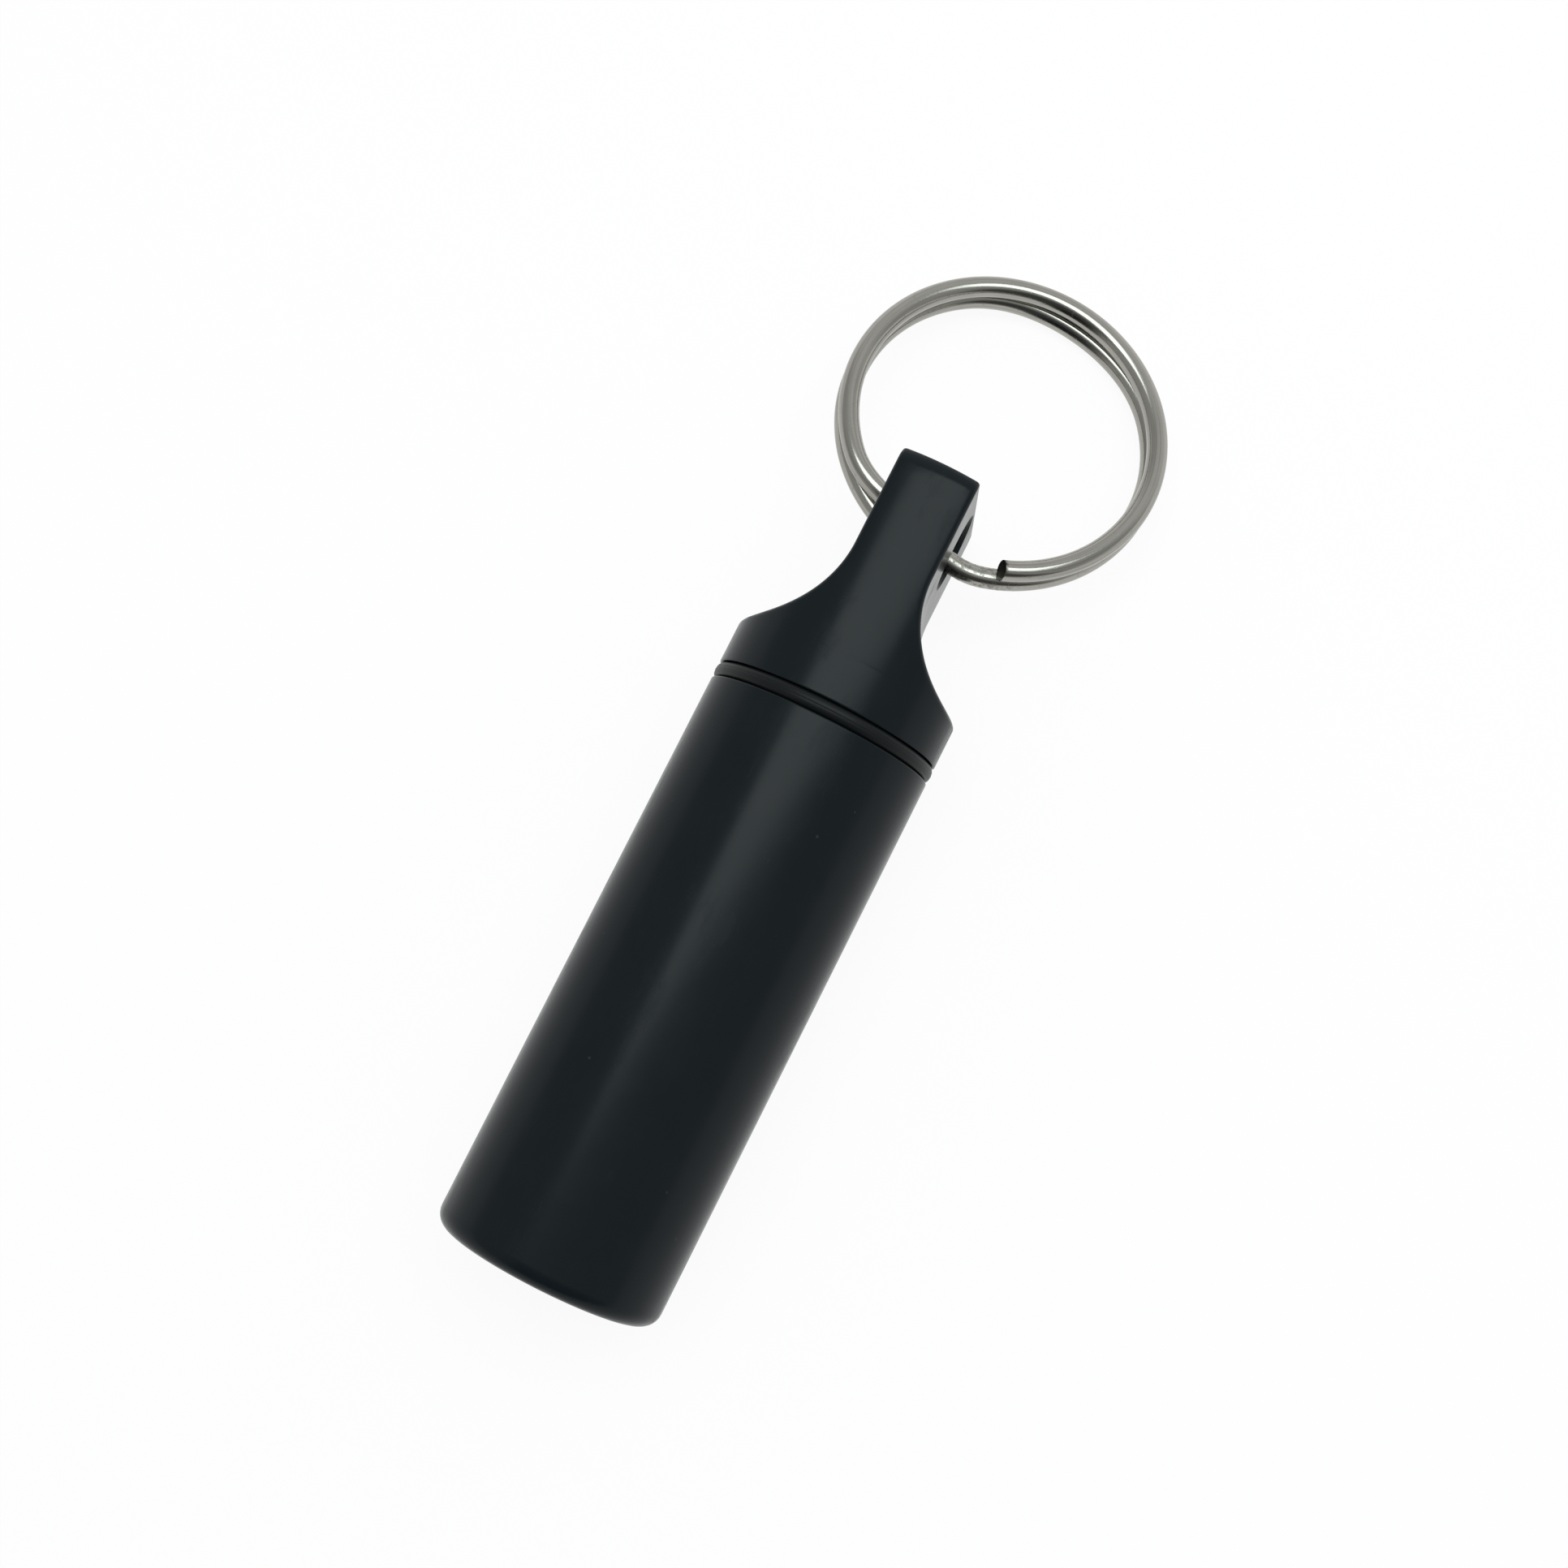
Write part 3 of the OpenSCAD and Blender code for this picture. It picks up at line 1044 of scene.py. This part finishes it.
        for end, inwards in ((min(places), 1), (max(places), -1)):
            depth = {vertex: (vertex[along] - end) * inwards for vertex in work.verts}
            centre = middle([v.co for v, deep in depth.items() if abs(deep) < WELD])
            beside = [v.co for v, deep in depth.items() if next_row[0] < deep < next_row[1]]
            out = (centre - middle(beside)).normalized()
            slanted = out * math.cos(ring.cut) + level * math.sin(ring.cut)
            normal = slanted if inwards > 0 else aside
            spread = (normal - out * normal.dot(out)).normalized()
            tip = centre - spread * ring.wire / 2
            near = [vertex for vertex, deep in depth.items() if deep < reach]
            edges = {edge for vertex in near for edge in vertex.link_edges}
            faces = {face for vertex in near for face in vertex.link_faces}
            cut = bmesh.ops.bisect_plane(
                work, geom=[*near, *edges, *faces], plane_co=tip, plane_no=normal, clear_outer=True
            )
            rim = [part for part in cut["geom_cut"] if isinstance(part, bmesh.types.BMEdge)]
            bmesh.ops.edgenet_fill(work, edges=rim)
        rims = [e for e in work.edges if e.is_manifold and e.calc_face_angle() > rim_angle]
        rounding = {"segments": 2, "profile": 0.5, "clamp_overlap": True}
        bmesh.ops.bevel(work, geom=rims, offset=NIP_BURR, affect="EDGES", **rounding)
        # Marks the points of the cut end faces, which the plating darkens as painted shade.
        for face in [face for face in work.faces if len(face.verts) > WIRE_SIDES // 2]:
            for vertex in face.verts:
                vertex[marked] = 1.0
        work.to_mesh(piece.data)
        work.free()


# The stage, in metres

FLOOR_HALF = 1.5
FLOOR_WHITE = 0.97  # the floor's colour as the camera, mirrors and glass see it
FLOOR_GLOW = 0.92  # share of plain white in what they see, and the rest shows the shadow
DARK_SIDE = 0.08  # strength of the room behind the base
FAR_WALL = 0.3  # what the wall beyond the ring adds
SOFTBOX_SIZE = (0.20, 0.44)
SOFTBOX_PLACE = (0.15, -0.02, 0.40)
SOFTBOX_TINT = (0.92, 1.0, 1.0)


class PILLFOB_OT_stage(bpy.types.Operator):
    """Lays the floor, lights the room and sets up the photograph's camera"""

    bl_idname = "pillfob.stage"
    bl_label = "Stage"

    def execute(self, context):
        stage = context.scene.pill_fob.stage
        self.floor(context, stage)
        self.world(context, stage)
        self.lamp(context, stage)
        self.camera(context, stage)
        context.scene.view_settings.view_transform = "Standard"
        return {"FINISHED"}

    @staticmethod
    def seen(graph):
        """1 for rays that show the background: from the camera, a mirror or glass."""
        rays = graph.node("ShaderNodeLightPath", out="Is Camera Ray")
        mirror, glass = rays.other("Is Glossy Ray"), rays.other("Is Transmission Ray")
        return graph.math("MAXIMUM", rays, graph.math("MAXIMUM", mirror, glass))

    def floor(self, context, stage):
        """A pale floor, which shows near white with the object's soft shadow on it."""
        mesh = bpy.data.meshes.new("Floor")
        around = ((-1, -1), (1, -1), (1, 1), (-1, 1))
        corners = [(x * FLOOR_HALF, y * FLOOR_HALF, cad_low.z) for x, y in around]
        mesh.from_pydata(corners, [], [(0, 1, 2, 3)])
        floor = bpy.data.objects.new("Floor", mesh)
        context.scene.collection.objects.link(floor)
        material = bpy.data.materials.new("Pale floor")
        graph = empty_graph(material)
        seen = self.seen(graph)
        pale = stage.floor + seen * (FLOOR_WHITE - stage.floor)
        matt = graph.node("ShaderNodeBsdfDiffuse", None, {"Color": graph.join(pale, pale, pale)})
        white = graph.node("ShaderNodeEmission", None, {"Color": (1, 1, 1, 1), "Strength": 1.0})
        mixed = graph.node("ShaderNodeMixShader", None, {0: seen * FLOOR_GLOW, 1: matt, 2: white})
        graph.node("ShaderNodeOutputMaterial", None, {"Surface": mixed})
        mesh.materials.append(material)

    @staticmethod
    def world(context, stage):
        """A room that every ray sees alike: white low down, pale walls, and dark past the base."""
        world = bpy.data.worlds.new("Studio")
        graph = empty_graph(world)
        beyond, aside, up = graph.split(graph.node("ShaderNodeTexCoord", out="Generated"))
        ring_side, left_side = graph.step(beyond, -0.50, -0.20), graph.step(aside, 0.25, 0.50)
        wall = graph.math("MAXIMUM", ring_side, left_side)
        room = DARK_SIDE + wall * (stage.room - DARK_SIDE)
        room = room + graph.step(beyond, 0.40, 0.80) * FAR_WALL
        level = graph.math("MAXIMUM", room, graph.step(up, 0.30, 0.10))
        light = graph.node("ShaderNodeBackground", None, {"Color": (1, 1, 1, 1), "Strength": level})
        graph.node("ShaderNodeOutputWorld", None, {"Surface": light})
        context.scene.world = world

    @staticmethod
    def lamp(context, stage):
        """A softbox high up beyond the ring, which looks straight down."""
        data = bpy.data.lights.new("Softbox", "AREA")
        data.shape = "RECTANGLE"
        data.size, data.size_y = SOFTBOX_SIZE
        data.energy = stage.softbox
        data.color = SOFTBOX_TINT
        lamp = bpy.data.objects.new("Softbox", data)
        context.scene.collection.objects.link(lamp)
        lamp.location = SOFTBOX_PLACE
        lamp.rotation_euler.z = stage.slant

    @staticmethod
    def camera(context, stage):
        """The camera as fitted to the photograph: its right, up and backward ways in the frame."""
        right = (0.44967688, -0.89224235, -0.04116171)
        up = (0.88825901, 0.44188229, 0.12544311)
        back = (-0.09373702, -0.09297112, 0.99124656)
        place_at = (0.02119, -0.01374, 0.15161)
        data = bpy.data.cameras.new("Camera")
        data.lens = stage.lens
        data.sensor_width = 36.0
        data.clip_start, data.clip_end = 0.01, 10.0
        camera = bpy.data.objects.new("Camera", data)
        context.scene.collection.objects.link(camera)
        turned = Matrix((right, up, back)).transposed().to_4x4()
        camera.matrix_world = Matrix.Translation(place_at) @ turned
        context.scene.camera = camera


OPERATORS = (PILLFOB_OT_stage, PILLFOB_OT_case, PILLFOB_OT_cap, PILLFOB_OT_seal, PILLFOB_OT_ring)


class PILLFOB_PT_panel(bpy.types.Panel):
    """Lists the fob's pieces and settings"""

    bl_idname = "PILLFOB_PT_panel"
    bl_label = "Pill fob keychain"
    bl_space_type = "VIEW_3D"
    bl_region_type = "UI"
    bl_category = "Pill fob"

    def draw(self, context):
        for operator in OPERATORS:
            self.layout.operator(operator.bl_idname)
        settings = context.scene.pill_fob
        for name in GROUPS:
            box = self.layout.box()
            box.label(text=name.capitalize())
            group = getattr(settings, name)
            for label in group.bl_rna.properties.keys():
                if label not in ("rna_type", "name"):
                    box.prop(group, label)


CLASSES = (*GROUPS.values(), FobSettings, *OPERATORS, PILLFOB_PT_panel)


def register():
    for item in CLASSES:
        bpy.utils.register_class(item)
    bpy.types.Scene.pill_fob = group_of(FobSettings, "Pill fob", "Settings of the pill fob")


def unregister():
    del bpy.types.Scene.pill_fob
    for item in reversed(CLASSES):
        bpy.utils.unregister_class(item)


def main():
    register()
    bpy.ops.pillfob.stage()
    bpy.ops.pillfob.case()
    bpy.ops.pillfob.cap()
    bpy.ops.pillfob.seal()
    bpy.ops.pillfob.ring()


if __name__ == "__main__":
    main()
